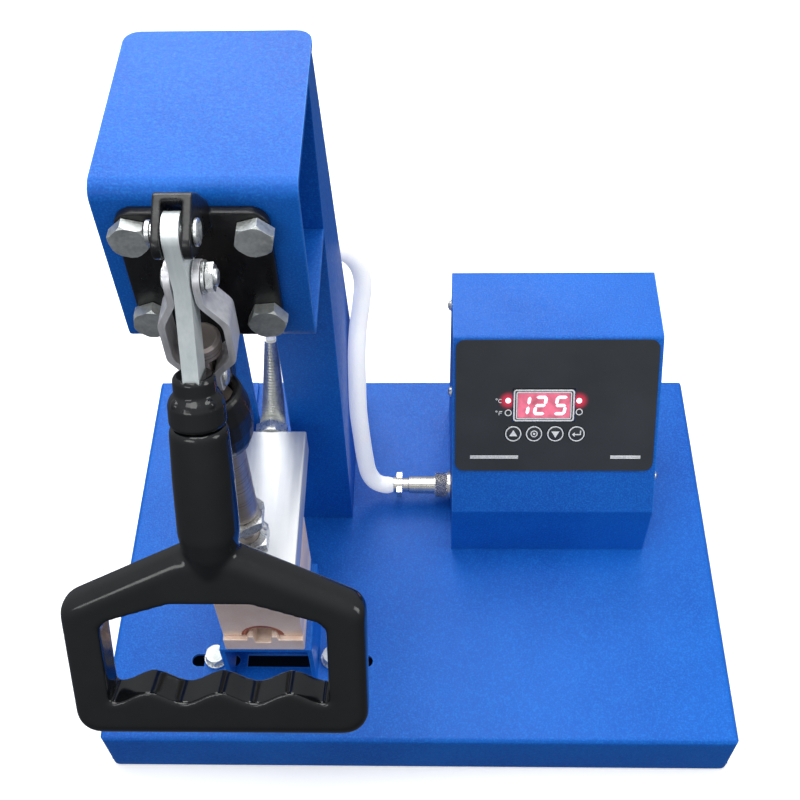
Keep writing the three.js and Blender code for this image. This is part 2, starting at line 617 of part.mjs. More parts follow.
/** Sheet cover: short upright front, slanted panel, top, back and both sides, open below. */
function boxCover() {
  const slope = slantDir.y / slantDir.x;
  const profile = (inset) => {
    const foot = BASE.top + GAP - (inset ? 20 : 0);
    const top = BOX.top - inset;
    const [faceY, faceZ] = onPanel(0, -inset);
    const lip = faceZ + (BOX.front + inset - faceY) * slope;
    const shelf = faceY + (top - faceZ) / slope;
    const r = 3.5 - inset;
    return rounded([
      [BOX.front + inset, foot], [BOX.back - inset, foot], [BOX.back - inset, top, r], [shelf, top, r],
      [BOX.front + inset, lip, r],
    ], 4);
  };
  const { x0, x1, sheet } = BOX;
  let cover = prismX(profile(0), x0, x1).subtract(prismX(profile(sheet), x0 + sheet, x1 - sheet));
  cover = cover.subtract(placeOnPanel(box(WINDOW.x, WINDOW.up, [-10, 10])));
  for (const [, x] of KEYS) {
    cover = cover.subtract(placeOnPanel(cyl(6.2, 20, [x, KEY_UP, -10], 'z', 6.2, 24)));
  }
  cover = cover.subtract(coverScrewHoles());
  cover = cover.subtract(cyl(8.3, 20, [x0 - 10, PLUG.y, PLUG.z], 'x'));
  cover = cover.subtract(box([BOX_MID - 44, BOX_MID - 16], [BOX.back - 10, BOX.back + 10], [66, 87]));
  return cover.subtract(box([BOX_MID + 15.5, BOX_MID + 36.5], [BOX.back - 10, BOX.back + 10], [68, 83]));
}

/** Floor of the box with two upturned side flanges that take the screws. */
function boxFloor() {
  const x0 = BOX.x0 + BOX.sheet + GAP;
  const x1 = BOX.x1 - BOX.sheet - GAP;
  const y0 = BOX.front + BOX.sheet + GAP;
  const y1 = BOX.back - BOX.sheet - GAP;
  const z = BASE.top + GAP;
  let shape = box([x0, x1], [y0, y1], [z, z + 1.5]);
  const flange = rounded([[2, z], [118, z], [118, 195], [92, 195], [50, 152], [6, 110], [2, 100]]);
  for (const x of [x0, x1 - 1.5]) shape = shape.add(prismX(flange, x, x + 1.5));
  shape = shape.subtract(coverScrewHoles());
  return shape.subtract(cyl(11, 20, [x0 - 10, PLUG.y, PLUG.z], 'x'));
}

/** Printed overlay on the slanted panel, open at the display and at the four keys. */
function panelOverlay() {
  const outline = rectangle(25.4, 159.4, 31.5, 124.4, 6);
  let shape = prismZ(outline, GAP, GAP + 0.9);
  const { x, up } = WINDOW;
  shape = shape.subtract(box([x[0] - GAP, x[1] + GAP], [up[0] - GAP, up[1] + GAP], [-5, 5]));
  for (const [, at] of KEYS) shape = shape.subtract(cyl(6.1, 20, [at, KEY_UP, -10], 'z', 6.1, 24));
  return placeOnPanel(shape);
}

/** Display module behind the window. */
function displayModule() {
  const { x, up } = WINDOW;
  const face = box([x[0] + GAP, x[1] - GAP], [up[0] + GAP, up[1] - GAP], [-6, 1.5]);
  const recess = box([x[0] + 3, x[1] - 3], [up[0] + 2.6, up[1] - 2.6], [1.1, 3]);
  return placeOnPanel(face.subtract(recess));
}

/** Round key that travels through the overlay and the panel. */
function key(x) {
  const profile = [[0, -4.2], [5.7, -4.2], [5.7, 1.2], [5, 1.5], [0, 1.5]];
  return placeOnPanel(turned(profile, [x, KEY_UP, 0], 'z', 24));
}

/** Circuit board behind the panel. */
function circuitBoard() {
  return placeOnPanel(box([42, 142], [36, 100], [-9, -7.4]));
}

part('box_cover', boxCover(), BLUE);
part('box_floor', boxFloor(), BLUE);
part('panel_overlay', panelOverlay(), BLACK_LABEL);
part('display_module', displayModule(), DISPLAY);
part('circuit_board', circuitBoard(), BOARD);
for (const [name, x] of KEYS) part(`key_${name}`, key(x), BLACK_LABEL);
for (const [name, [y, z]] of Object.entries(COVER_SCREWS)) {
  const dome = [[0, -5], [1.6, -5], [1.6, 0.3], [3.8, 0.3], [3.2, 1.8], [1.6, 2.7], [0, 2.8]];
  const screw = turned(dome, [0, 0, 0], 'x', 16);
  const left = name.endsWith('left');
  const facing = left ? screw.rotate([0, 0, 180]) : screw;
  part(`box_screw_${name}`, facing.translate([left ? BOX.x0 : BOX.x1, y, z]), ZINC);
}

/** Mains inlet in the back of the box. */
function powerInlet() {
  const y = BOX.back;
  const x = BOX_MID - 30;
  return box([x - 13.6, x + 13.6], [y - 18, y], [66.4, 86.6])
    .add(box([x - 16, x + 16], [y + GAP, y + 2.6], [64, 89]))
    .add(box([x - 13.6, x + 13.6], [y - 1, y + 1], [66.4, 86.6]))
    .subtract(prismY(rectangle(x - 12, x + 12, 68.5, 84.5, 2), y - 15, y + 10))
    .add(box([x - 7, x - 4.6], [y - 16, y - 1], [75.5, 79.5]))
    .add(box([x + 4.6, x + 7], [y - 16, y - 1], [75.5, 79.5]))
    .add(box([x - 1.2, x + 1.2], [y - 16, y - 1], [79.5, 83]));
}

/** Frame of the mains switch. */
function switchFrame() {
  const y = BOX.back;
  const x = BOX_MID + 26;
  return box([x - 10.2, x + 10.2], [y - 14, y + 1], [68.3, 82.7])
    .add(box([x - 12, x + 12], [y + GAP, y + 2], [66, 85]))
    .subtract(box([x - 8.6, x + 8.6], [y - 11, y + 10], [69.8, 81.2]));
}

/** Rocker of the mains switch, tilted about its middle. */
function rocker() {
  const x = BOX_MID + 26;
  const y = BOX.back - 3;
  const outline = rounded([
    [x - 7.6, y + 8.2, 0.6], [x, y + 5.4], [x + 7.6, y + 6, 0.6], [x + 5, y - 4.4, 2], [x - 5, y - 4.4, 2],
  ]);
  return prismZ(outline, 70.2, 80.8);
}

part('power_inlet', powerInlet(), BLACK_PLASTIC);
part('switch_frame', switchFrame(), BLACK_PLASTIC);
part('rocker', rocker(), BLACK_PLASTIC);

// ---------------------------------------------------------------- cable and its connector
const plugAt = (x) => [x, PLUG.y, PLUG.z];

part('panel_socket', turned([[0, -2], [7.9, -2], [7.9, 9], [0, 9]], plugAt(BOX.x0), 'x')
  .add(turned([[0, -2.6], [10.5, -2.6], [10.5, -GAP], [0, -GAP]], plugAt(BOX.x0), 'x'))
  .add(turned([[0, -8.8], [7, -8.8], [7, -2], [0, -2]], plugAt(BOX.x0), 'x')), STEEL);
const RING_PROFILE = [[7.3, 12.2], [8.4, 12.2], [9, 13], [9, 20], [8.4, 20.7], [7.3, 20.7], [7.3, 12.2]];
const PLUG_PROFILE = [
  [0, -11.6], [5.2, -11.6], [5.2, -7.6], [6.3, -7], [6.5, 11.6], [6.9, 11.6], [6.9, 14.4], [0, 14.4],
];
const CLAMP_PROFILE = [[0, -18.4], [6.2, -18.4], [6.2, -16.8], [5.4, -16.8], [5.4, -11.9], [0, -11.9]];
const clampEars = box([-16.2, -12.4], [PLUG.y - 8.6, PLUG.y + 8.6], [PLUG.z - 3.6, PLUG.z + 3.6]);
part('plug_ring', turned(RING_PROFILE, plugAt(0), 'x', 32), STEEL);
part('plug_body', turned(PLUG_PROFILE, plugAt(0), 'x'), STEEL);
part('plug_clamp', turned(CLAMP_PROFILE, plugAt(0), 'x').add(clampEars), STEEL);

/** Round tube along a smooth curve through the points. */
function tube(points, radius, steps, sides = 10) {
  const section = new THREE.Shape();
  for (let i = 0; i < sides; i += 1) {
    const a = (2 * Math.PI * i) / sides;
    if (i === 0) section.moveTo(radius * Math.cos(a), radius * Math.sin(a));
    else section.lineTo(radius * Math.cos(a), radius * Math.sin(a));
  }
  const path = new THREE.CatmullRomCurve3(points.map((p) => new THREE.Vector3(...p)));
  return solid(new THREE.ExtrudeGeometry(section, { steps, bevelEnabled: false, extrudePath: path }));
}

// From the connector, up beside the column, round its back edge and into the channel.
const CABLE_ROUTE = [
  [-18.8, 40, 62], [-25.5, 40, 62.2], [-31.8, 40.6, 65.5], [-36.4, 42.4, 74], [-38.8, 45.5, 90],
  [-40.4, 50, 110], [-42, 57, 131], [-42.2, 66.5, 150], [-42.2, 79, 167], [-41, 92, 180.5],
  [-38.6, 102, 194], [-37.2, 109, 207.5], [-39.8, 112.5, 220], [-46.2, 112.5, 231],
  [-55.5, 108.5, 240], [-67, 99.5, 247], [-77, 87.5, 251], [-84.5, 75, 252.5],
];
const CLIP = [-86.6, 70.6, 252]; // centre of the clip that ends the free cable
// From the clip down to the spring guard on the moving block.
const LEAD_R = 3.3;
const LEAD_ROUTE = [
  [-88.4, 66.4, 251], [-90.2, 59.5, 247.5], [-91.6, 51.5, 242], [-92, 45.3, 235.5], [-92.1, 41.9, 228],
];
const GUARD_R = { foot: 9, tip: 4 };
const GUARD_ROUTE = [
  [GLAND.x, CARRIER.y[1] + 9, GLAND.z], [-95.1, 24, 169.5], [-94.8, 30.5, 177.5], [-94.3, 34.5, 189],
  [-93.5, 37, 202], [-92.8, 39, 215], [-92.2, 41.5, 227],
];

/** Conical spring guard over the lead, where it leaves the gland. */
function leadGuard() {
  const path = new THREE.CatmullRomCurve3(GUARD_ROUTE.map((p) => new THREE.Vector3(...p)));
  const steps = 16;
  const sides = 12;
  const frames = path.computeFrenetFrames(steps, false);
  const positions = [];
  const index = [];
  for (let i = 0; i <= steps; i += 1) {
    const t = i / steps;
    const centre = path.getPointAt(t);
    const radius = GUARD_R.foot + (GUARD_R.tip - GUARD_R.foot) * t;
    for (let k = 0; k < sides; k += 1) {
      const a = (2 * Math.PI * k) / sides;
      const offset = frames.normals[i].clone().multiplyScalar(radius * Math.cos(a));
      offset.addScaledVector(frames.binormals[i], radius * Math.sin(a));
      positions.push(...centre.clone().add(offset).toArray());
    }
  }
  for (let i = 0; i < steps; i += 1) {
    for (let k = 0; k < sides; k += 1) {
      const a = i * sides + k;
      const b = i * sides + ((k + 1) % sides);
      index.push(a, b, a + sides, b, b + sides, a + sides);
    }
  }
  const ends = [path.getPointAt(0), path.getPointAt(1)];
  positions.push(...ends[0].toArray(), ...ends[1].toArray());
  const first = (steps + 1) * sides;
  for (let k = 0; k < sides; k += 1) {
    const next = (k + 1) % sides;
    index.push(next, k, first);
    index.push(steps * sides + k, steps * sides + next, first + 1);
  }
  const g = new THREE.BufferGeometry();
  g.setAttribute('position', new THREE.Float32BufferAttribute(positions, 3));
  g.setIndex(index);
  return solid(g).intersect(box([-200, 0], [CARRIER.y[1] + 10.1, 200], [0, 400]));
}

/** Clip that holds the cable inside the column: a ring on a strap to the front sheet. */
function cableClip() {
  const dir = new THREE.Vector3(-3.9, -8.9, -1.6).normalize();
  const turn = new THREE.Matrix4().makeRotationFromQuaternion(
    new THREE.Quaternion().setFromUnitVectors(new THREE.Vector3(0, 0, 1), dir),
  );
  turn.setPosition(...CLIP);
  const ring = turned([[CABLE_R + GAP, -4], [CABLE_R + 2.6, -4], [CABLE_R + 2.6, 4], [CABLE_R + GAP, 4],
    [CABLE_R + GAP, -4]], [0, 0, 0], 'z', 24).transform(turn.elements);
  const strap = box([-83.5, -75.5], [COLUMN.front + COLUMN.sheet + GAP, 70], [258.6, 261]);
  const wall = COLUMN.front + COLUMN.sheet;
  const tab = box([-83.5, -75.5], [wall + GAP, wall + 2.6], [258.6, 276]);
  return ring.add(strap).add(tab);
}

part('cable', tube(CABLE_ROUTE, CABLE_R, 30), SLEEVE);
part('cable_clip', cableClip(), ZINC);
part('heater_lead', tube(LEAD_ROUTE, LEAD_R, 8), SLEEVE);
part('lead_guard', leadGuard(), STEEL);

group.position.y = ORIGIN_SHIFT;
export default group;
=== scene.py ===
"""Pen heat press: looks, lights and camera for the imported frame.

Everything is in metres and in the frame of the CAD model. Positions that also stand in the CAD
source are given in its millimetres and pass through at().
"""
import json
import math

import bmesh
import bpy
from mathutils import Matrix, Vector, noise

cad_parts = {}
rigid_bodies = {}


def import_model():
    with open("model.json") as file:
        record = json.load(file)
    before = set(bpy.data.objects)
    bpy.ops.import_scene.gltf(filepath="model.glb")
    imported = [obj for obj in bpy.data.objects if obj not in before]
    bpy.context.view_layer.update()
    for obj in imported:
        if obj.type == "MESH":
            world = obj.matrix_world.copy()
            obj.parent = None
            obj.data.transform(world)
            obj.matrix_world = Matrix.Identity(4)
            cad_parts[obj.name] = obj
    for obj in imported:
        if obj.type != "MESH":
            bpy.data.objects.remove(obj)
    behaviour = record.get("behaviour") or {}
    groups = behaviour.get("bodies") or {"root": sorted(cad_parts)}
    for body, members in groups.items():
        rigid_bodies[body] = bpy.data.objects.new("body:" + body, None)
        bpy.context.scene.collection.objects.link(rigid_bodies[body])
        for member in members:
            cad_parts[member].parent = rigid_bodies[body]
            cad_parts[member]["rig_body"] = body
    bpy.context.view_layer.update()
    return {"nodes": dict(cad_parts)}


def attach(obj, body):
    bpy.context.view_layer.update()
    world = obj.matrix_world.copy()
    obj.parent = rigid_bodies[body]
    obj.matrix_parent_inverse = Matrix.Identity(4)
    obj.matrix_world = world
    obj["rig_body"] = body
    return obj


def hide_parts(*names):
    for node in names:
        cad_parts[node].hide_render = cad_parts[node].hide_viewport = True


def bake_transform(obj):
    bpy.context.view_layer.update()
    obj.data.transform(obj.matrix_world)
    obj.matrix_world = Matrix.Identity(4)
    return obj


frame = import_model()

MM = 0.001
FULL_TURN = 2 * math.pi
BACK_SHIFT = 29.3  # the CAD model is moved back by this much, mm

CAMERA_PLACE = (0.00887, -0.40714, 0.7945)
CAMERA_ANGLES = (-2.47, 52.81, -2.00)  # yaw, pitch down and roll, degrees
CAMERA_LENS = 52.94
SENSOR_WIDTH = 36

TRAY_HALF = (0.205, 0.145)  # half the tray's width and depth, less a little
# name, place, target, size, energy
SOFT_BOXES = (
    ("back_box", (-0.25, 1.35, 1.55), (-0.05, 0, 0.25), (1.5, 0.8), 22),
    ("top_box", (-0.1, 0.05, 1.9), (0, 0, 0), (1.7, 1.1), 20),
    ("side_box", (1.7, -0.3, 0.9), (0, 0, 0.15), (0.7, 1.0), 7),
    ("fill_box", (-0.9, -1.5, 1.3), (0, 0, 0.2), (1.2, 0.5), 6),
)

SLEEVE_R = 6.3  # sleeved cable, mm
LEAD_R = 3.2  # heater lead, mm
STRAND_PITCH = 0.0028  # sleeve's braid, along the cable
KNURL_PITCH = 0.0013
KNURL_COUNT = 44.0
THREAD_PITCH = 0.0016
THREAD_TOP = 0.2335  # the rod is threaded below this height
LAMP_GLOW = (0.0075, 0.0015)  # a lamp's glow on the film fades out and is full at these distances


def at(x, y, z):
    """CAD source millimetres -> metres in the shared frame."""
    return Vector((x * MM, (y + BACK_SHIFT) * MM, z * MM))


# ------------------------------------------------------------------ camera, floor and lights
def make_camera():
    """Camera at the photograph's height, angle and field of view."""
    yaw, pitch, roll = (math.radians(a) for a in CAMERA_ANGLES)
    ahead = Vector((
        math.sin(yaw) * math.cos(pitch), math.cos(yaw) * math.cos(pitch), -math.sin(pitch),
    ))
    right = Vector((math.cos(yaw), -math.sin(yaw), 0))
    up = right.cross(ahead)
    c, s = math.cos(roll), math.sin(roll)
    right, up = c * right + s * up, c * up - s * right
    camera = bpy.data.objects.new("camera", bpy.data.cameras.new("camera"))
    bpy.context.scene.collection.objects.link(camera)
    turn = Matrix((right, up, -ahead)).transposed().to_4x4()
    camera.matrix_world = Matrix.Translation(CAMERA_PLACE) @ turn
    camera.data.sensor_width = SENSOR_WIDTH
    camera.data.lens = CAMERA_LENS
    bpy.context.scene.camera = camera


def make_floor():
    """Large pale floor with a painted shadow, dark where the tray covers it."""
    bpy.ops.mesh.primitive_plane_add(size=14, location=(0, 0, -0.0005))
    floor = bpy.context.object
    floor.name = "floor"
    mat, tree, shader = new_material("floor_white")
    grain = noise_texture(tree, 3.0, 2.0)
    colour = ramp(tree, grain, [(0.3, (0.92, 0.92, 0.92)), (0.7, (0.96, 0.96, 0.965))])
    # painted shadow under the tray: its footprint darkens the floor's colour and turns off its glow
    x, y, _ = split(tree, coordinates(tree))
    deep = math_node(tree, "ABSOLUTE", math_node(tree, "ADD", y, -BACK_SHIFT * MM))
    out = math_node(
        tree, "MAXIMUM",
        math_node(tree, "DIVIDE", math_node(tree, "ABSOLUTE", x), TRAY_HALF[0]),
        math_node(tree, "DIVIDE", deep, TRAY_HALF[1]),
    )
    shade = ramp(tree, out, [(0.9, 0.03), (1.0, 1.0)])
    feed(tree, shader, "Base Color", mixed(tree, 1.0, colour, shade, "MULTIPLY"))
    feed(tree, shader, "Emission Color", ramp(tree, out, [(0.94, 0.0), (1.0, 1.0)]))
    shader.inputs["Emission Strength"].default_value = 0.3
    shader.inputs["Roughness"].default_value = 0.85
    floor.data.materials.append(mat)
    floor.visible_diffuse = False
    floor.visible_glossy = False


def make_backdrop():
    """Pale wall far behind the object, seen only from low angles."""
    mat, tree, shader = new_material("backdrop_white")
    tone = ramp(tree, noise_texture(tree, 0.6, 1.0), [(0.3, 0.93), (0.7, 0.97)])
    feed(tree, shader, "Emission Color", tone)
    shader.inputs["Emission Strength"].default_value = 1.0
    shader.inputs["Base Color"].default_value = (0, 0, 0, 1)
    shader.inputs["Roughness"].default_value = 1.0
    bpy.ops.mesh.primitive_cylinder_add(vertices=96, radius=6.5, depth=8, end_fill_type="NOTHING")
    wall = bpy.context.object
    wall.name = "backdrop"
    wall.data.materials.append(mat)
    wall.visible_diffuse = False
    wall.visible_glossy = False
    wall.visible_shadow = False


def area_light(name, place, target, size, energy):
    """Rectangular soft light at place, turned to target."""
    data = bpy.data.lights.new(name, "AREA")
    data.shape = "RECTANGLE"
    data.size, data.size_y = size
    data.energy = energy
    light = bpy.data.objects.new(name, data)
    light.location = place
    light.rotation_euler = (Vector(target) - Vector(place)).to_track_quat("-Z", "Y").to_euler()
    bpy.context.scene.collection.objects.link(light)


def make_lights():
    """Soft boxes, and a surround that is darker below than above."""
    world = bpy.data.worlds.new("surround")
    world.use_nodes = True
    tree = world.node_tree
    height = split(tree, coordinates(tree, source="Generated"))[2]
    sky = ramp(tree, math_node(tree, "MULTIPLY_ADD", height, 0.5, 0.5), [
        (0.2, (0.10, 0.105, 0.12)), (0.5, (0.34, 0.35, 0.37)), (0.9, (0.62, 0.64, 0.66)),
    ])
    tree.links.new(sky, tree.nodes["Background"].inputs[0])
    bpy.context.scene.world = world
    for box in SOFT_BOXES:
        area_light(*box)
    bpy.context.scene.view_settings.view_transform = "Standard"


# ------------------------------------------------------------------ material helpers
def new_material(name):
    """Empty Principled material: the material, its tree and its shader."""
    mat = bpy.data.materials.new(name)
    mat.use_nodes = True
    return mat, mat.node_tree, mat.node_tree.nodes["Principled BSDF"]


def feed(tree, shader, socket, value):
    """Connects a value to one of the shader's inputs."""
    tree.links.new(value, shader.inputs[socket])


def coordinates(tree, scale=(1, 1, 1), source="Object"):
    """Object, UV or Generated coordinates, scaled."""
    start = tree.nodes.new("ShaderNodeTexCoord")
    mapping = tree.nodes.new("ShaderNodeMapping")
    mapping.inputs["Scale"].default_value = scale
    tree.links.new(start.outputs[source], mapping.inputs["Vector"])
    return mapping.outputs["Vector"]


def split(tree, vector):
    """The X, Y and Z outputs of a vector."""
    node = tree.nodes.new("ShaderNodeSeparateXYZ")
    tree.links.new(vector, node.inputs[0])
    return node.outputs


def noise_texture(tree, scale, detail=3.0, stretch=(1, 1, 1)):
    """Fractal noise in object coordinates; scale is in cycles per metre."""
    node = tree.nodes.new("ShaderNodeTexNoise")
    node.inputs["Scale"].default_value = scale
    node.inputs["Detail"].default_value = detail
    node.inputs["Roughness"].default_value = 0.5
    tree.links.new(coordinates(tree, stretch), node.inputs["Vector"])
    return node.outputs["Fac"]


def ramp(tree, value, stops):
    """Colour ramp through (position, colour or grey) stops."""
    node = tree.nodes.new("ShaderNodeValToRGB")
    tree.links.new(value, node.inputs["Fac"])
    elements = node.color_ramp.elements
    while len(elements) < len(stops):
        elements.new(0.5)
    for element, (position, colour) in zip(elements, stops):
        element.position = position
        rgb = colour if isinstance(colour, tuple) else (colour,) * 3
        element.color = (*rgb, 1)
    return node.outputs["Color"]


def mixed(tree, factor, a, b, mode="MIX"):
    """Mix of two colours, each a socket or an RGB triple."""
    node = tree.nodes.new("ShaderNodeMix")
    node.data_type = "RGBA"
    node.blend_type = mode
    for value, socket in ((factor, node.inputs[0]), (a, node.inputs[6]), (b, node.inputs[7])):
        if isinstance(value, bpy.types.NodeSocket):
            tree.links.new(value, socket)
        else:
            socket.default_value = value if isinstance(value, float) else (*value, 1)
    return node.outputs[2]


def math_node(tree, operation, *values):
    """Arithmetic on sockets or numbers."""
    node = tree.nodes.new("ShaderNodeMath")
    node.operation = operation
    for value, socket in zip(values, node.inputs):
        if isinstance(value, bpy.types.NodeSocket):
            tree.links.new(value, socket)
        else:
            socket.default_value = value
    return node.outputs[0]


def bump(tree, height, depth, strength=1.0, normal=None):
    """Bump of the given depth in metres."""
    node = tree.nodes.new("ShaderNodeBump")
    node.inputs["Strength"].default_value = strength
    node.inputs["Distance"].default_value = depth
    tree.links.new(height, node.inputs["Height"])
    if normal is not None:
        tree.links.new(normal, node.inputs["Normal"])
    return node.outputs["Normal"]


def painted_highlight_mask(tree, radius):
    """White along convex and concave edges, black on flat faces; it places a painted highlight."""
    bevel = tree.nodes.new("ShaderNodeBevel")
    bevel.samples = 4
    bevel.inputs["Radius"].default_value = radius
    geometry = tree.nodes.new("ShaderNodeNewGeometry")
    dot = tree.nodes.new("ShaderNodeVectorMath")
    dot.operation = "DOT_PRODUCT"
    tree.links.new(bevel.outputs["Normal"], dot.inputs[0])
    tree.links.new(geometry.outputs["Normal"], dot.inputs[1])
    turned = math_node(tree, "SUBTRACT", 1.0, dot.outputs["Value"])
    return ramp(tree, turned, [(0.02, 0.0), (0.2, 1.0)])


def crossed_waves(tree, angle, along, pitch):
    """Two sine waves that wind round an axis in opposite directions."""
    waves = []
    for side in (-1, 1):
        shift = math_node(tree, "MULTIPLY", along, side * FULL_TURN / pitch)
        waves.append(math_node(tree, "SINE", math_node(tree, "ADD", angle, shift)))
    return waves


# ------------------------------------------------------------------ materials
def powder_coat():
    """Royal-blue powder coat: orange peel, cloudy tone, and a painted highlight that makes it paler
    along the folds and edges.
    """
    mat, tree, shader = new_material("blue_powder_coat")
    cloud = ramp(tree, noise_texture(tree, 14), [
        (0.3, (0.003, 0.082, 0.43)), (0.7, (0.005, 0.112, 0.52)),
    ])
    speck = ramp(tree, noise_texture(tree, 1000), [(0.46, 0.0), (0.68, 1.0)])
    tone = mixed(tree, math_node(tree, "MULTIPLY", speck, 0.3), cloud, (0.02, 0.30, 0.88))
    # painted highlight: the colour turns paler blue along edges and folds
    edge = math_node(tree, "MULTIPLY", painted_highlight_mask(tree, 0.0016), 0.45)
    peel = bump(tree, noise_texture(tree, 750), 0.00022, 0.8)
    gloss = ramp(tree, noise_texture(tree, 500), [(0.3, 0.34), (0.75, 0.52)])
    feed(tree, shader, "Base Color", mixed(tree, edge, tone, (0.04, 0.28, 0.88)))
    feed(tree, shader, "Roughness", gloss)
    feed(tree, shader, "Normal", bump(tree, noise_texture(tree, 26, 2), 0.0006, 0.5, peel))
    shader.inputs["Specular IOR Level"].default_value = 0.22
    return mat


def metal(name, dark, light, gloss, stretch, grain=600, depth=0.00004, blotch=60, metallic=0.9):
    """Metal with grain drawn out along one axis, cloudy tone and a painted highlight that brightens
    its edges.
    """
    mat, tree, shader = new_material(name)
    tone = ramp(tree, noise_texture(tree, blotch, 4), [(0.32, dark), (0.68, light)])
    lines = noise_texture(tree, grain, 3, stretch)
    tone = mixed(tree, 0.35, tone, ramp(tree, lines, [(0.35, dark), (0.65, light)]))
    # painted highlight: the colour turns near white along edges
    edge = math_node(tree, "MULTIPLY", painted_highlight_mask(tree, 0.0007), 0.6)
    feed(tree, shader, "Base Color", mixed(tree, edge, tone, (0.95, 0.96, 0.97)))
    feed(tree, shader, "Roughness", ramp(tree, lines, [(0.3, gloss[0]), (0.7, gloss[1])]))
    feed(tree, shader, "Normal", bump(tree, lines, depth, 0.7))
    shader.inputs["Metallic"].default_value = metallic
    return mat


def black_finish(name, tone, gloss, grain, depth, coat):
    """Black moulded plastic or painted casting, with a fine surface, scuffed roughness and a
    painted highlight along its edges.
    """
    mat, tree, shader = new_material(name)
    pale = tuple(v * 2.0 for v in tone)
    cloud = ramp(tree, noise_texture(tree, 45, 4), [(0.3, tone), (0.75, pale)])
    # painted highlight: the colour turns grey along edges
    edge = math_node(tree, "MULTIPLY", painted_highlight_mask(tree, 0.0008), 0.12)
    scuff = noise_texture(tree, 220, 5, (1, 1, 0.3))
    fine = bump(tree, noise_texture(tree, grain), depth, 0.6)
    feed(tree, shader, "Base Color", mixed(tree, edge, cloud, (0.35, 0.36, 0.38)))
    feed(tree, shader, "Roughness", ramp(tree, scuff, [(0.35, gloss[0]), (0.7, gloss[1])]))
    feed(tree, shader, "Normal", bump(tree, noise_texture(tree, 55, 2), 0.0006, 0.35, fine))
    shader.inputs["Specular IOR Level"].default_value = 0.45
    shader.inputs["Coat Weight"].default_value = coat
    shader.inputs["Coat Roughness"].default_value = 0.1
    return mat


def soft_rubber(name, dark, light, roughness, sheen):
    """Rubber or silicone with a fine matt grain."""
    mat, tree, shader = new_material(name)
    rough = [(0.3, roughness - 0.08), (0.7, roughness + 0.08)]
    tone = ramp(tree, noise_texture(tree, 120, 4), [(0.3, dark), (0.7, light)])
    feed(tree, shader, "Base Color", tone)
    feed(tree, shader, "Normal", bump(tree, noise_texture(tree, 1300, 2), 0.0001, 0.6))
    feed(tree, shader, "Roughness", ramp(tree, noise_texture(tree, 300, 2), rough))
    shader.inputs["Sheen Weight"].default_value = sheen
    return mat


def braided_sleeve(turns, length):
    """White braided glass sleeve: strands that cross both ways, in the tube's UV coordinates, with
    painted shade between the strands and a painted glow all over.
    """
    mat, tree, shader = new_material("white_braid")
    u, v, _ = split(tree, coordinates(tree, source="UV"))
    around = math_node(tree, "MULTIPLY", u, turns * FULL_TURN)
    waves = crossed_waves(tree, around, v, STRAND_PITCH / length)
    weave = math_node(
        tree, "MAXIMUM", *(math_node(tree, "MULTIPLY_ADD", wave, 0.5, 0.5) for wave in waves),
    )
    fuzz = noise_texture(tree, 900, 4)
    height = math_node(tree, "ADD", weave, math_node(tree, "MULTIPLY", fuzz, 0.9))
    stain = ramp(tree, noise_texture(tree, 30), [
        (0.3, (0.88, 0.88, 0.86)), (0.6, (0.95, 0.95, 0.94)),
    ])
    # painted shade: the colour darkens where the weave lies low between strands
    shade = ramp(tree, weave, [(0.35, 0.92), (0.9, 1.0)])
    feed(tree, shader, "Base Color", mixed(tree, 1.0, stain, shade, "MULTIPLY"))
    feed(tree, shader, "Roughness", ramp(tree, fuzz, [(0.3, 0.72), (0.7, 0.95)]))
    feed(tree, shader, "Normal", bump(tree, height, 0.0002, 0.4))
    shader.inputs["Sheen Weight"].default_value = 0.4
    # painted light: the sleeve glows so it stays bright white out of the light
    shader.inputs["Emission Color"].default_value = (0.95, 0.97, 1.0, 1)
    shader.inputs["Emission Strength"].default_value = 0.36
    shader.inputs["Subsurface Weight"].default_value = 0.15
    shader.inputs["Subsurface Scale"].default_value = 0.002
    return mat


def label_film(lamps):
    """Satin black film with a faint red glow on it round each lit lamp."""
    mat, tree, shader = new_material("label_film")
    tone = ramp(tree, noise_texture(tree, 25), [
        (0.3, (0.016, 0.019, 0.024)), (0.7, (0.026, 0.031, 0.038)),
    ])
    glows = []
    for lamp in lamps:
        near = tree.nodes.new("ShaderNodeVectorMath")
        near.operation = "DISTANCE"
        tree.links.new(coordinates(tree), near.inputs[0])
        near.inputs[1].default_value = lamp
        fall = tree.nodes.new("ShaderNodeMapRange")
        fall.interpolation_type = "SMOOTHERSTEP"
        fall.inputs["From Min"].default_value, fall.inputs["From Max"].default_value = LAMP_GLOW
        tree.links.new(near.outputs["Value"], fall.inputs["Value"])
        glows.append(fall.outputs[0])
    glow = math_node(tree, "ADD", *glows)
    feed(tree, shader, "Base Color", tone)
    feed(tree, shader, "Roughness", ramp(tree, noise_texture(tree, 400), [(0.3, 0.36), (0.7, 0.5)]))
    feed(tree, shader, "Normal", bump(tree, noise_texture(tree, 1800, 2), 0.00005, 0.5))
    feed(tree, shader, "Emission Color", mixed(tree, glow, (0.0, 0.0, 0.0), (0.75, 0.01, 0.06)))
    shader.inputs["Emission Strength"].default_value = 0.8
    return mat


def printed_ink():
    """White print with slightly uneven cover."""
    mat, tree, shader = new_material("white_ink")
    tone = ramp(tree, noise_texture(tree, 900), [
        (0.3, (0.62, 0.63, 0.65)), (0.65, (0.86, 0.87, 0.88)),
    ])
    feed(tree, shader, "Base Color", tone)
    shader.inputs["Roughness"].default_value = 0.55
    return mat


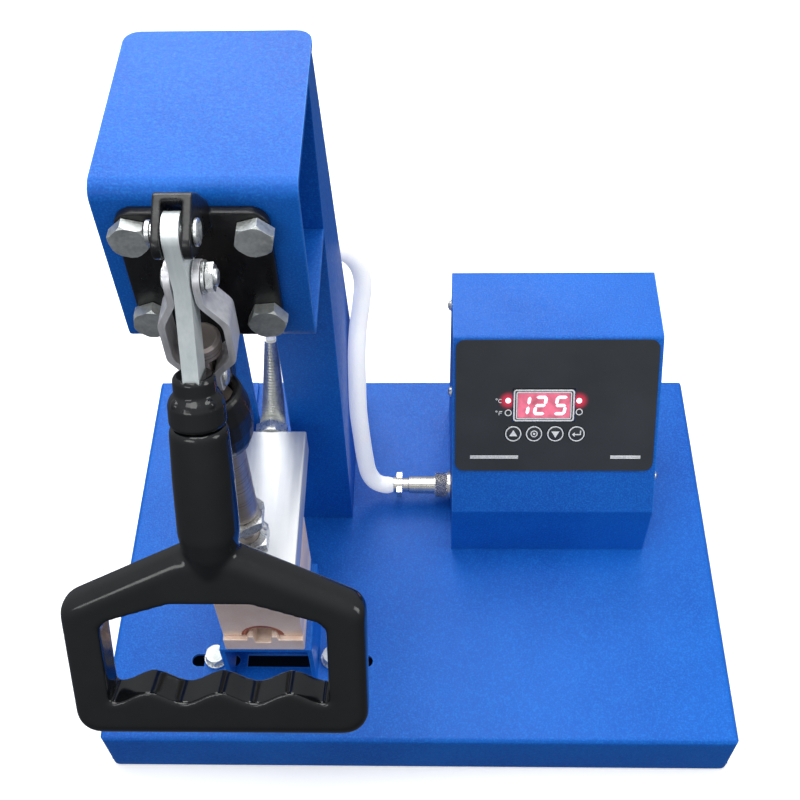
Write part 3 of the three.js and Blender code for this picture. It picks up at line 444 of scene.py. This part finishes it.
def lit(name, dark, light, strength, scale=120):
    """Lit segment, lamp or window with uneven brightness."""
    mat, tree, shader = new_material(name)
    tone = ramp(tree, noise_texture(tree, scale, 2), [(0.3, dark), (0.7, light)])
    feed(tree, shader, "Emission Color", tone)
    feed(tree, shader, "Base Color", tone)
    shader.inputs["Emission Strength"].default_value = strength
    shader.inputs["Roughness"].default_value = 0.25
    return mat


def circuit_green():
    """Solder-mask green with paler tracks showing through."""
    mat, tree, shader = new_material("circuit_green")
    tracks = ramp(tree, noise_texture(tree, 300, 1, (1, 0.15, 1)), [(0.48, 0.0), (0.52, 1.0)])
    tone = mixed(tree, tracks, (0.01, 0.11, 0.035), (0.02, 0.2, 0.07))
    feed(tree, shader, "Base Color", tone)
    shader.inputs["Roughness"].default_value = 0.4
    return mat


def knurled(centre):
    """Nickel with a crossed knurl about an axis that runs along X through centre."""
    mat = metal("nickel_knurl", (0.50, 0.48, 0.45), (0.80, 0.78, 0.74), (0.18, 0.3), (1, 1, 1))
    tree, shader = mat.node_tree, mat.node_tree.nodes["Principled BSDF"]
    x, y, z = split(tree, coordinates(tree))
    dy = math_node(tree, "SUBTRACT", y, centre.y)
    dz = math_node(tree, "SUBTRACT", z, centre.z)
    angle = math_node(tree, "MULTIPLY", math_node(tree, "ARCTAN2", dy, dz), KNURL_COUNT)
    crossed = math_node(tree, "MINIMUM", *crossed_waves(tree, angle, x, KNURL_PITCH))
    feed(tree, shader, "Normal", bump(tree, crossed, 0.00035))
    return mat


def threaded_rod():
    """Dark turned steel: round feed marks, brown tone, a screw thread below the guide."""
    mat = metal(
        "turned_rod", (0.30, 0.25, 0.23), (0.50, 0.44, 0.41), (0.25, 0.4), (0.02, 0.02, 3), 500,
        metallic=0.65,
    )
    tree, shader = mat.node_tree, mat.node_tree.nodes["Principled BSDF"]
    height = split(tree, coordinates(tree))[2]
    turns = math_node(tree, "MULTIPLY", height, FULL_TURN / THREAD_PITCH)
    low = math_node(tree, "LESS_THAN", height, THREAD_TOP)
    thread = math_node(tree, "MULTIPLY", math_node(tree, "SINE", turns), low)
    feed(tree, shader, "Normal", bump(tree, thread, 0.0006))
    return mat


def add_object(name, mesh, mat, body, *replaced):
    """Links a finished mesh as a piece with its material, body and the nodes it stands for."""
    piece = bpy.data.objects.new(name, mesh)
    bpy.context.scene.collection.objects.link(piece)
    mesh.materials.clear()
    mesh.materials.append(mat)
    if body is not None:
        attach(piece, body)
    if replaced:
        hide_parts(*replaced)
    return piece


def body_of(node):
    """CAD body that a node belongs to."""
    return frame["nodes"][node]["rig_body"]


def nodes_named(*starts):
    """CAD nodes whose names start with one of the words given."""
    return [n for n in frame["nodes"] if n.startswith(starts)]


def welded(node):
    """Editable copy of a CAD node's mesh with its vertices joined."""
    bm = bmesh.new()
    bm.from_mesh(frame["nodes"][node].data)
    bmesh.ops.remove_doubles(bm, verts=bm.verts, dist=2e-6)
    return bm


def mesh_from(bm, name):
    """Mesh made from bm, which is freed."""
    mesh = bpy.data.meshes.new(name)
    bm.to_mesh(mesh)
    bm.free()
    return mesh


def refined(node, mat, radius=0.4, angle=30, segments=2):
    """Piece made from a CAD node's shape: merged faces, rounded edges, smooth curved faces."""
    sharp = math.radians(angle)
    bm = welded(node)
    bmesh.ops.dissolve_limit(bm, angle_limit=math.radians(1.0), verts=bm.verts, edges=bm.edges)
    for face in bm.faces:
        face.smooth = True
    for edge in bm.edges:
        edge.smooth = len(edge.link_faces) == 2 and edge.calc_face_angle(0) < sharp
    piece = add_object(node + "_piece", mesh_from(bm, node + "_shape"), mat, body_of(node), node)
    bevel = piece.modifiers.new("rounded edges", "BEVEL")
    bevel.width = radius * MM
    bevel.segments = segments
    bevel.limit_method = "ANGLE"
    bevel.angle_limit = sharp
    bevel.harden_normals = True
    bevel.use_clamp_overlap = True
    return piece


def moulded(node, mat, voxel, passes):
    """Piece made from a CAD node's shape with its corners melted together, as cast or moulded."""
    mesh = mesh_from(welded(node), node + "_shape")
    piece = add_object(node + "_piece", mesh, mat, body_of(node), node)
    remesh = piece.modifiers.new("skin", "REMESH")
    remesh.mode = "VOXEL"
    remesh.voxel_size = voxel * MM
    remesh.use_smooth_shade = True
    melt = piece.modifiers.new("melt", "SMOOTH")
    melt.factor = 0.5
    melt.iterations = passes


def smooth_path(points, per_span):
    """Centripetal Catmull-Rom curve through the points."""
    ends = [2 * points[0] - points[1], *points, 2 * points[-1] - points[-2]]
    path = []
    for p0, p1, p2, p3 in zip(ends, ends[1:], ends[2:], ends[3:]):
        d0, d1, d2 = ((b - a).length ** 0.5 for a, b in ((p0, p1), (p1, p2), (p2, p3)))
        m1 = ((p1 - p0) / d0 - (p2 - p0) / (d0 + d1) + (p2 - p1) / d1) * d1
        m2 = ((p2 - p1) / d1 - (p3 - p1) / (d1 + d2) + (p3 - p2) / d2) * d1
        for k in range(per_span):
            t = k / per_span
            path.append(
                (2 * t**3 - 3 * t**2 + 1) * p1 + (t**3 - 2 * t**2 + t) * m1
                + (3 * t**2 - 2 * t**3) * p2 + (t**3 - t**2) * m2
            )
    path.append(points[-1])
    return path


def sweep(name, path, radius, sides):
    """Closed tube along path; radius(i, t) may change along it. UV: u around, v along."""
    bm = bmesh.new()
    uv = bm.loops.layers.uv.new("tube")
    last = len(path) - 1
    turns = [FULL_TURN * k / sides for k in range(sides)]
    normal = (path[1] - path[0]).normalized().orthogonal().normalized()
    rings = []
    for i, centre in enumerate(path):
        tangent = (path[min(i + 1, last)] - path[max(i - 1, 0)]).normalized()
        normal = (normal - tangent * normal.dot(tangent)).normalized()
        side = tangent.cross(normal)
        r = radius(i, i / last)
        spots = [centre + r * (normal * math.cos(a) + side * math.sin(a)) for a in turns]
        rings.append([bm.verts.new(spot) for spot in spots])
    for i, (low, high) in enumerate(zip(rings, rings[1:])):
        for k in range(sides):
            n = (k + 1) % sides
            face = bm.faces.new((low[k], low[n], high[n], high[k]))
            face.smooth = True
            corners = ((k, i), (k + 1, i), (k + 1, i + 1), (k, i + 1))
            for loop, (a, b) in zip(face.loops, corners):
                loop[uv].uv = (a / sides, b / last)
    for ring_verts in (rings[0][::-1], rings[-1]):
        bm.faces.new(ring_verts)
    return mesh_from(bm, name)


def path_length(path):
    """Length along a list of points."""
    return sum((b - a).length for a, b in zip(path, path[1:]))


# ------------------------------------------------------------------ scene set-up and cords
make_camera()
make_floor()
make_backdrop()
make_lights()

CABLE_ROUTE = [at(*p) for p in (
    (-18.8, 40, 62), (-25.5, 40, 62.2), (-31.8, 40.6, 65.5), (-36.4, 42.4, 74), (-38.8, 45.5, 90),
    (-40.4, 50, 110), (-42, 57, 131), (-42.2, 66.5, 150), (-42.2, 79, 167), (-41, 92, 180.5),
    (-38.6, 102, 194), (-37.2, 109, 207.5), (-39.8, 112.5, 220), (-46.2, 112.5, 231),
    (-55.5, 108.5, 240), (-67, 99.5, 247), (-77, 87.5, 251), (-84.5, 75, 252.5),
)]
LEAD_ROUTE = [at(*p) for p in (
    (-88.4, 66.4, 251), (-90.2, 59.5, 247.5), (-91.6, 51.5, 242), (-92, 45.3, 235.5),
    (-92.1, 41.9, 228),
)]
GUARD_ROUTE = [at(*p) for p in (
    (-95.2, 17.8, 167.3), (-95.1, 24, 169.5), (-94.8, 30.5, 177.5), (-94.3, 34.5, 189),
    (-93.5, 37, 202), (-92.8, 39, 215), (-92.2, 41.5, 227),
)]
COIL_STEPS = 8  # path points in one coil of the spring guard


def sleeve_radius(i, t):
    """Sleeve radius: slack cloth, a little uneven along its length, gathered at the connector."""
    slack = 0.02 * noise.noise(Vector((i * 0.07, 0.3, 0.0)))
    gather = 0.16 * max(0.0, 1 - t / 0.035)
    return SLEEVE_R * MM * (0.975 + slack - gather)


def lead_radius(i, t):
    """The lead is equally thick all along."""
    return LEAD_R * MM


def make_cords():
    """The sleeved cable, and the heater's lead."""
    route = smooth_path(CABLE_ROUTE, 12)
    braid = braided_sleeve(14, path_length(route))
    tube = sweep("sleeved_cable", route, sleeve_radius, 40)
    cable = add_object("sleeved_cable", tube, braid, "frame", "cable")
    tube = sweep("heater_lead_sleeve", smooth_path(LEAD_ROUTE, 16), lead_radius, 24)
    lead = add_object("heater_lead_sleeve", tube, braid, None, "heater_lead")
    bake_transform(lead)


def guard_radius(i, t):
    """Coils of the spring guard, smaller towards its tip."""
    return (8.65 - 5.0 * t + 0.33 * math.sin(i * FULL_TURN / COIL_STEPS)) * MM


def make_guard():
    """Conical spring round the lead where it leaves the gland."""
    mesh = sweep("spring_guard", smooth_path(GUARD_ROUTE, 44), guard_radius, 28)
    add_object("spring_guard", mesh, spring_steel, "plunger", "lead_guard")


make_cords()

# ------------------------------------------------------------------ the materials, made once
blue = powder_coat()
zinc = metal(
    "bright_zinc", (0.58, 0.60, 0.60), (0.84, 0.86, 0.85), (0.22, 0.38), (1, 1, 1),
    grain=420, depth=0.00008,
)
bolt_zinc = metal(
    "bolt_zinc", (0.47, 0.50, 0.48), (0.72, 0.75, 0.73), (0.36, 0.52), (1, 1, 1),
    grain=700, depth=0.00015, blotch=200, metallic=0.85,
)
lever_steel = metal(
    "lever_zinc", (0.72, 0.80, 0.80), (0.90, 0.96, 0.96), (0.3, 0.45), (1, 1, 0.08),
    grain=700, depth=0.00007, metallic=0.45,
)
link_steel = metal(
    "link_zinc", (0.62, 0.62, 0.65), (0.93, 0.92, 0.95), (0.3, 0.5), (1, 1, 0.1),
    grain=500, depth=0.00007, metallic=0.6,
)
bar_aluminium = metal(
    "bar_aluminium", (0.70, 0.72, 0.72), (0.90, 0.91, 0.91), (0.34, 0.5), (1, 0.05, 1),
    grain=260, depth=0.00005, blotch=20, metallic=0.8,
)
block_aluminium = metal(
    "block_aluminium", (0.84, 0.62, 0.50), (0.98, 0.82, 0.71), (0.4, 0.58), (1, 1, 1),
    grain=900, depth=0.0001, metallic=0.35,
)
nickel = metal(
    "nickel", (0.52, 0.50, 0.46), (0.80, 0.78, 0.73), (0.14, 0.26), (1, 0.2, 0.2),
    grain=300, depth=0.00003,
)
spring_steel = metal(
    "spring_steel", (0.55, 0.56, 0.50), (0.84, 0.85, 0.78), (0.28, 0.42), (1, 1, 1),
    grain=300, depth=0.00002, metallic=0.6,
)
rod_steel = threaded_rod()
handle_black = black_finish(
    "handle_black", (0.0025, 0.003, 0.0034), (0.10, 0.22), grain=700, depth=0.00003, coat=0.25,
)
cast_black = black_finish(
    "cast_black", (0.0035, 0.0035, 0.004), (0.25, 0.42), grain=420, depth=0.00028, coat=0.1,
)
socket_black = black_finish(
    "socket_black", (0.008, 0.008, 0.009), (0.35, 0.5), grain=1200, depth=0.0001, coat=0.0,
)
silicone = soft_rubber("red_silicone", (0.22, 0.035, 0.012), (0.42, 0.085, 0.025), 0.4, 0.1)
rubber = soft_rubber("foot_rubber", (0.012, 0.012, 0.012), (0.03, 0.03, 0.03), 0.75, 0.1)
ink = printed_ink()

# ------------------------------------------------------------------ panel geometry
PANEL_FOOT = (-5.5, 97.6)  # y and z of the slant's lower edge, mm
PANEL_TOP = (63.7, 203)
SLANT = Vector((0, PANEL_TOP[0] - PANEL_FOOT[0], PANEL_TOP[1] - PANEL_FOOT[1])).normalized()
OUTWARD = Vector((0, -SLANT.z, SLANT.y))

# Across the panel and up the slant, mm.
LAMPS = ((60.6, 82.3), (107.9, 82.2))
DARK_LAMPS = ((60.8, 73.6), (108.2, 74.2))
LAMP_R = 1.85
DIGITS = (("1", 66.0), ("2", 77.0), ("5", 90.6))
DIGIT_FOOT = 71.9
KEY_CENTRES = {"up": 64.5, "ok": 78.5, "down": 92.8, "enter": 107.0}
KEY_HEIGHT = 58.6
KEY_RING = (5.45, 4.7)  # outer and inner radius of the ring printed on a key
RULES = ((35.6, 68.2), (130.5, 150.8))  # ends of the ruled lines
RULE_FOOT = (40.5, 41.8)

# Low and high face of each printed or lit layer, above the slant, mm.
FRAME_LAYER = (1.5, 1.58)
PRINT_LAYER = (1.2, 1.27)
LAMP_LAYER = (1.2, 1.4)
WINDOW_LAYER = (1.12, 1.3)
DIGIT_LAYER = (1.3, 1.36)
KEY_LAYER = (1.32, 1.56)


def on_panel(x, up, out):
    """Point x across, up the slant and out of the slanted panel, all in mm, in metres."""
    p = Vector((x, *PANEL_FOOT)) + SLANT * up + OUTWARD * out
    return at(*p)


def plate_mesh(name, outlines, layer):
    """Thin raised shapes on the panel. Each outline is a list of closed loops, the outer first."""
    low, high = layer
    bm = bmesh.new()
    for loops in outlines:
        tops = []
        for loop in loops:
            bottom = [bm.verts.new(on_panel(x, up, low)) for x, up in loop]
            top = [bm.verts.new(on_panel(x, up, high)) for x, up in loop]
            tops.append(top)
            for k in range(len(loop)):
                n = (k + 1) % len(loop)
                bm.faces.new((bottom[k], bottom[n], top[n], top[k]))
        if len(tops) == 1:
            bm.faces.new(tops[0])
            continue
        outer, inner = tops
        for k in range(len(outer)):
            n = (k + 1) % len(outer)
            bm.faces.new((outer[k], outer[n], inner[n], inner[k]))
    bmesh.ops.recalc_face_normals(bm, faces=bm.faces)
    return mesh_from(bm, name)


def around(x, up, r, degrees):
    """Point on a circle about (x, up)."""
    a = math.radians(degrees)
    return (x + r * math.cos(a), up + r * math.sin(a))


def circle(x, up, r, sides=40):
    """Closed round outline."""
    return [around(x, up, r, 360 * k / sides) for k in range(sides)]


def ring(x, up, outer, inner):
    """Round outline with a round hole."""
    return [circle(x, up, outer), circle(x, up, inner)]


def round_box(x0, x1, u0, u1, r):
    """Rounded rectangle with five points at each corner."""
    corners = (
        (x1 - r, u1 - r, 0), (x0 + r, u1 - r, 90), (x0 + r, u0 + r, 180), (x1 - r, u0 + r, 270),
    )
    return [around(x, u, r, start + 22.5 * k) for x, u, start in corners for k in range(5)]


def box_ring(x0, x1, u0, u1, r, width):
    """Rounded rectangle with a hole that leaves a frame of the width given."""
    inner = round_box(x0 + width, x1 - width, u0 + width, u1 - width, max(r - width, 0.2))
    return [round_box(x0, x1, u0, u1, r), inner]


def stroke(a, b, width):
    """Straight line with square ends from a to b."""
    along = (Vector(b) - Vector(a)).normalized() * (width / 2)
    side = Vector((-along.y, along.x))
    a, b = Vector(a) - along, Vector(b) + along
    return [[tuple(p) for p in (a + side, a - side, b - side, b + side)]]


def arc(x, up, r, start, end, width, steps=14):
    """Part of a ring, as one outline."""
    turns = [start + (end - start) * k / steps for k in range(steps + 1)]
    outer = [around(x, up, r + width / 2, a) for a in turns]
    inner = [around(x, up, r - width / 2, a) for a in turns]
    return [outer + inner[::-1]]


# Bars of a seven-bar figure: a top, b and c right, d bottom, e and f left, g middle.
FIGURES = {"1": "bc", "2": "abged", "5": "afgcd"}
LEAN = 0.14


def figure(sign, left, low, width=8.4, height=13.9, thick=2.3, gap=0.1):
    """Seven-bar figure, leaning to the right, as outlines."""
    half, t = height / 2, thick / 2
    x0, x1 = t + gap, width - t - gap
    lower, upper = (t + gap, half - gap - t), (half + gap + t, height - t - gap)
    lines = {
        "a": ((x0, height - t), (x1, height - t)),
        "g": ((x0, half), (x1, half)),
        "d": ((x0, t), (x1, t)),
        "b": ((width - t, upper[0]), (width - t, upper[1])),
        "c": ((width - t, lower[0]), (width - t, lower[1])),
        "e": ((t, lower[0]), (t, lower[1])),
        "f": ((t, upper[0]), (t, upper[1])),
    }
    shapes = []
    for key in FIGURES[sign]:
        a, b = (Vector(end) for end in lines[key])
        along = (b - a).normalized() * t
        rim = Vector((-along.y, along.x)) * 0.95
        tip, shoulder = along * 0.5, along * 0.6
        bar = (
            a - tip, a + shoulder + rim, b - shoulder + rim,
            b + tip, b - shoulder - rim, a + shoulder - rim,
        )
        shapes.append([[(left + p.x + LEAN * p.y, low + p.y) for p in bar]])
    return shapes


def make_print():
    """Marks printed on the film: ruled lines, dark lamps and the signs for the two scales."""
    rules = [
        [round_box(x0, x1, foot, foot + 0.95, 0.2)] for x0, x1 in RULES for foot in RULE_FOOT
    ]
    rings = [ring(x, up, 2.35, 1.7) for x, up in DARK_LAMPS]
    degrees = [ring(52.9, up + 1.15, 0.65, 0.3) for up in (82.0, 73.4)]
    letter_c = [arc(55.4, 82.0, 1.2, 50, 310, 0.5)]
    letter_f = [
        stroke((54.6, 72.2), (54.9, 74.6), 0.5), stroke((54.9, 74.6), (56.6, 74.6), 0.5),
        stroke((54.8, 73.4), (56.1, 73.4), 0.5),
    ]
    shapes = rules + rings + degrees + letter_c + letter_f
    add_object("printed_marks", plate_mesh("printed_marks", shapes, PRINT_LAYER), ink, "frame")


def make_display():
    """Two printed frames, the lit window, its figures and the two lit lamps."""
    lamp_pink = lit("lamp_pink", (1.0, 0.55, 0.62), (1.0, 0.80, 0.84), 1.5)
    window_red = lit("display_red", (0.36, 0.08, 0.12), (0.66, 0.14, 0.22), 0.7, 160)
    segment_pink = lit("segment_pink", (1.0, 0.66, 0.73), (1.0, 0.84, 0.88), 1.0, 200)
    frames = [
        box_ring(64.15, 104.85, 67.65, 90.15, 2.0, 1.05),
        box_ring(66.0, 103.0, 69.2, 88.6, 1.2, 0.8),
    ]
    lamps = [[circle(x, up, LAMP_R)] for x, up in LAMPS]
    window = [[round_box(67.0, 102.0, 70.1, 87.7, 0.6)]]
    figures = [bar for sign, left in DIGITS for bar in figure(sign, left, DIGIT_FOOT)]
    for name, shapes, layer, mat in (
        ("display_frames", frames, FRAME_LAYER, ink),
        ("status_lamps", lamps, LAMP_LAYER, lamp_pink),
        ("display_window", window, WINDOW_LAYER, window_red),
        ("display_figures", figures, DIGIT_LAYER, segment_pink),
    ):
        add_object(name, plate_mesh(name, shapes, layer), mat, "frame")


def make_key_marks():
    """A ring and a sign on each key, which move with it."""
    signs = {
        "up": [[[(-2.7, -1.7), (2.7, -1.7), (0, 2.7)]]],
        "ok": [ring(0, 0, 2.4, 1.7), [circle(0, 0, 0.8)]],
        "down": [[[(-2.7, 1.7), (0, -2.7), (2.7, 1.7)]]],
        "enter": [
            stroke((2.6, 1.9), (2.6, -0.5), 0.8), stroke((1.8, -0.5), (-1.4, -0.5), 0.8),
            [[(-3.2, -0.5), (-1.2, -2.1), (-1.2, 1.1)]],
        ],
    }
    for key, x in KEY_CENTRES.items():
        shapes = [
            [[(x + a, KEY_HEIGHT + u) for a, u in loop] for loop in loops]
            for loops in [*signs[key], ring(0, 0, *KEY_RING)]
        ]
        name = f"mark_{key}"
        add_object(name, plate_mesh(name, shapes, KEY_LAYER), ink, body_of(f"key_{key}"))


def make_panel():
    """The label film, the keys, and everything printed or lit on them."""
    film = label_film([on_panel(x, up, LAMP_LAYER[0]) for x, up in LAMPS])
    refined("panel_overlay", film, 0.15)
    refined("display_module", socket_black, 0.1)
    for key in KEY_CENTRES:
        refined(f"key_{key}", film, 0.15)
    make_print()
    make_display()
    make_key_marks()


def finish_nodes():
    """Sheet, machined, cast and moulded pieces, each made from its CAD shape."""
    folded = ("base_tray", "column", "head_shell", "support_bracket", "box_cover", "box_floor")
    fasteners = (
        "clevis_pin", "link_bolt", "link_washer", "link_nut", "link_stud", "bracket_washer",
        "rod_nut", "gland", "cable_clip",
    )
    # name starts, material, edge radius in mm, segments in a rounded edge
    groups = (
        (folded, blue, 0.7, 3),
        (("foot_",), rubber, 0.6, 2),
        (("clamp_bolt", "bracket_bolt"), bolt_zinc, 0.3, 2),
        (fasteners, zinc, 0.25, 2),
        (("box_screw",), zinc, 0.15, 2),
        (("lever_bar",), lever_steel, 0.6, 3),
        (("link_left", "link_right"), link_steel, 0.35, 2),
        (("plunger_rod",), rod_steel, 0.3, 2),
        (("carrier_bar",), bar_aluminium, 0.9, 2),
        (("heater_block", "lower_block"), block_aluminium, 0.7, 2),
        (("silicone_liner",), silicone, 0.3, 2),
        (("circuit_board",), circuit_green(), 0.1, 2),
        (("power_inlet", "switch_frame", "rocker"), socket_black, 0.3, 2),
        (("panel_socket",), nickel, 0.2, 2),
    )
    for starts, mat, radius, segments in groups:
        for node in nodes_named(*starts):
            refined(node, mat, radius, segments=segments)
    moulded("handle", handle_black, 0.9, 34)
    moulded("handle_collar", handle_black, 0.5, 3)
    moulded("clamp_body", cast_black, 0.7, 3)


def finish_connector():
    """The round connector's parts stay the CAD nodes and get nickel, knurled on the ring."""
    knurl = knurled(at(0, 40, 62))
    for node, mat in (("plug_body", nickel), ("plug_clamp", nickel), ("plug_ring", knurl)):
        materials = frame["nodes"][node].data.materials
        materials.clear()
        materials.append(mat)


make_guard()
finish_nodes()
finish_connector()
make_panel()
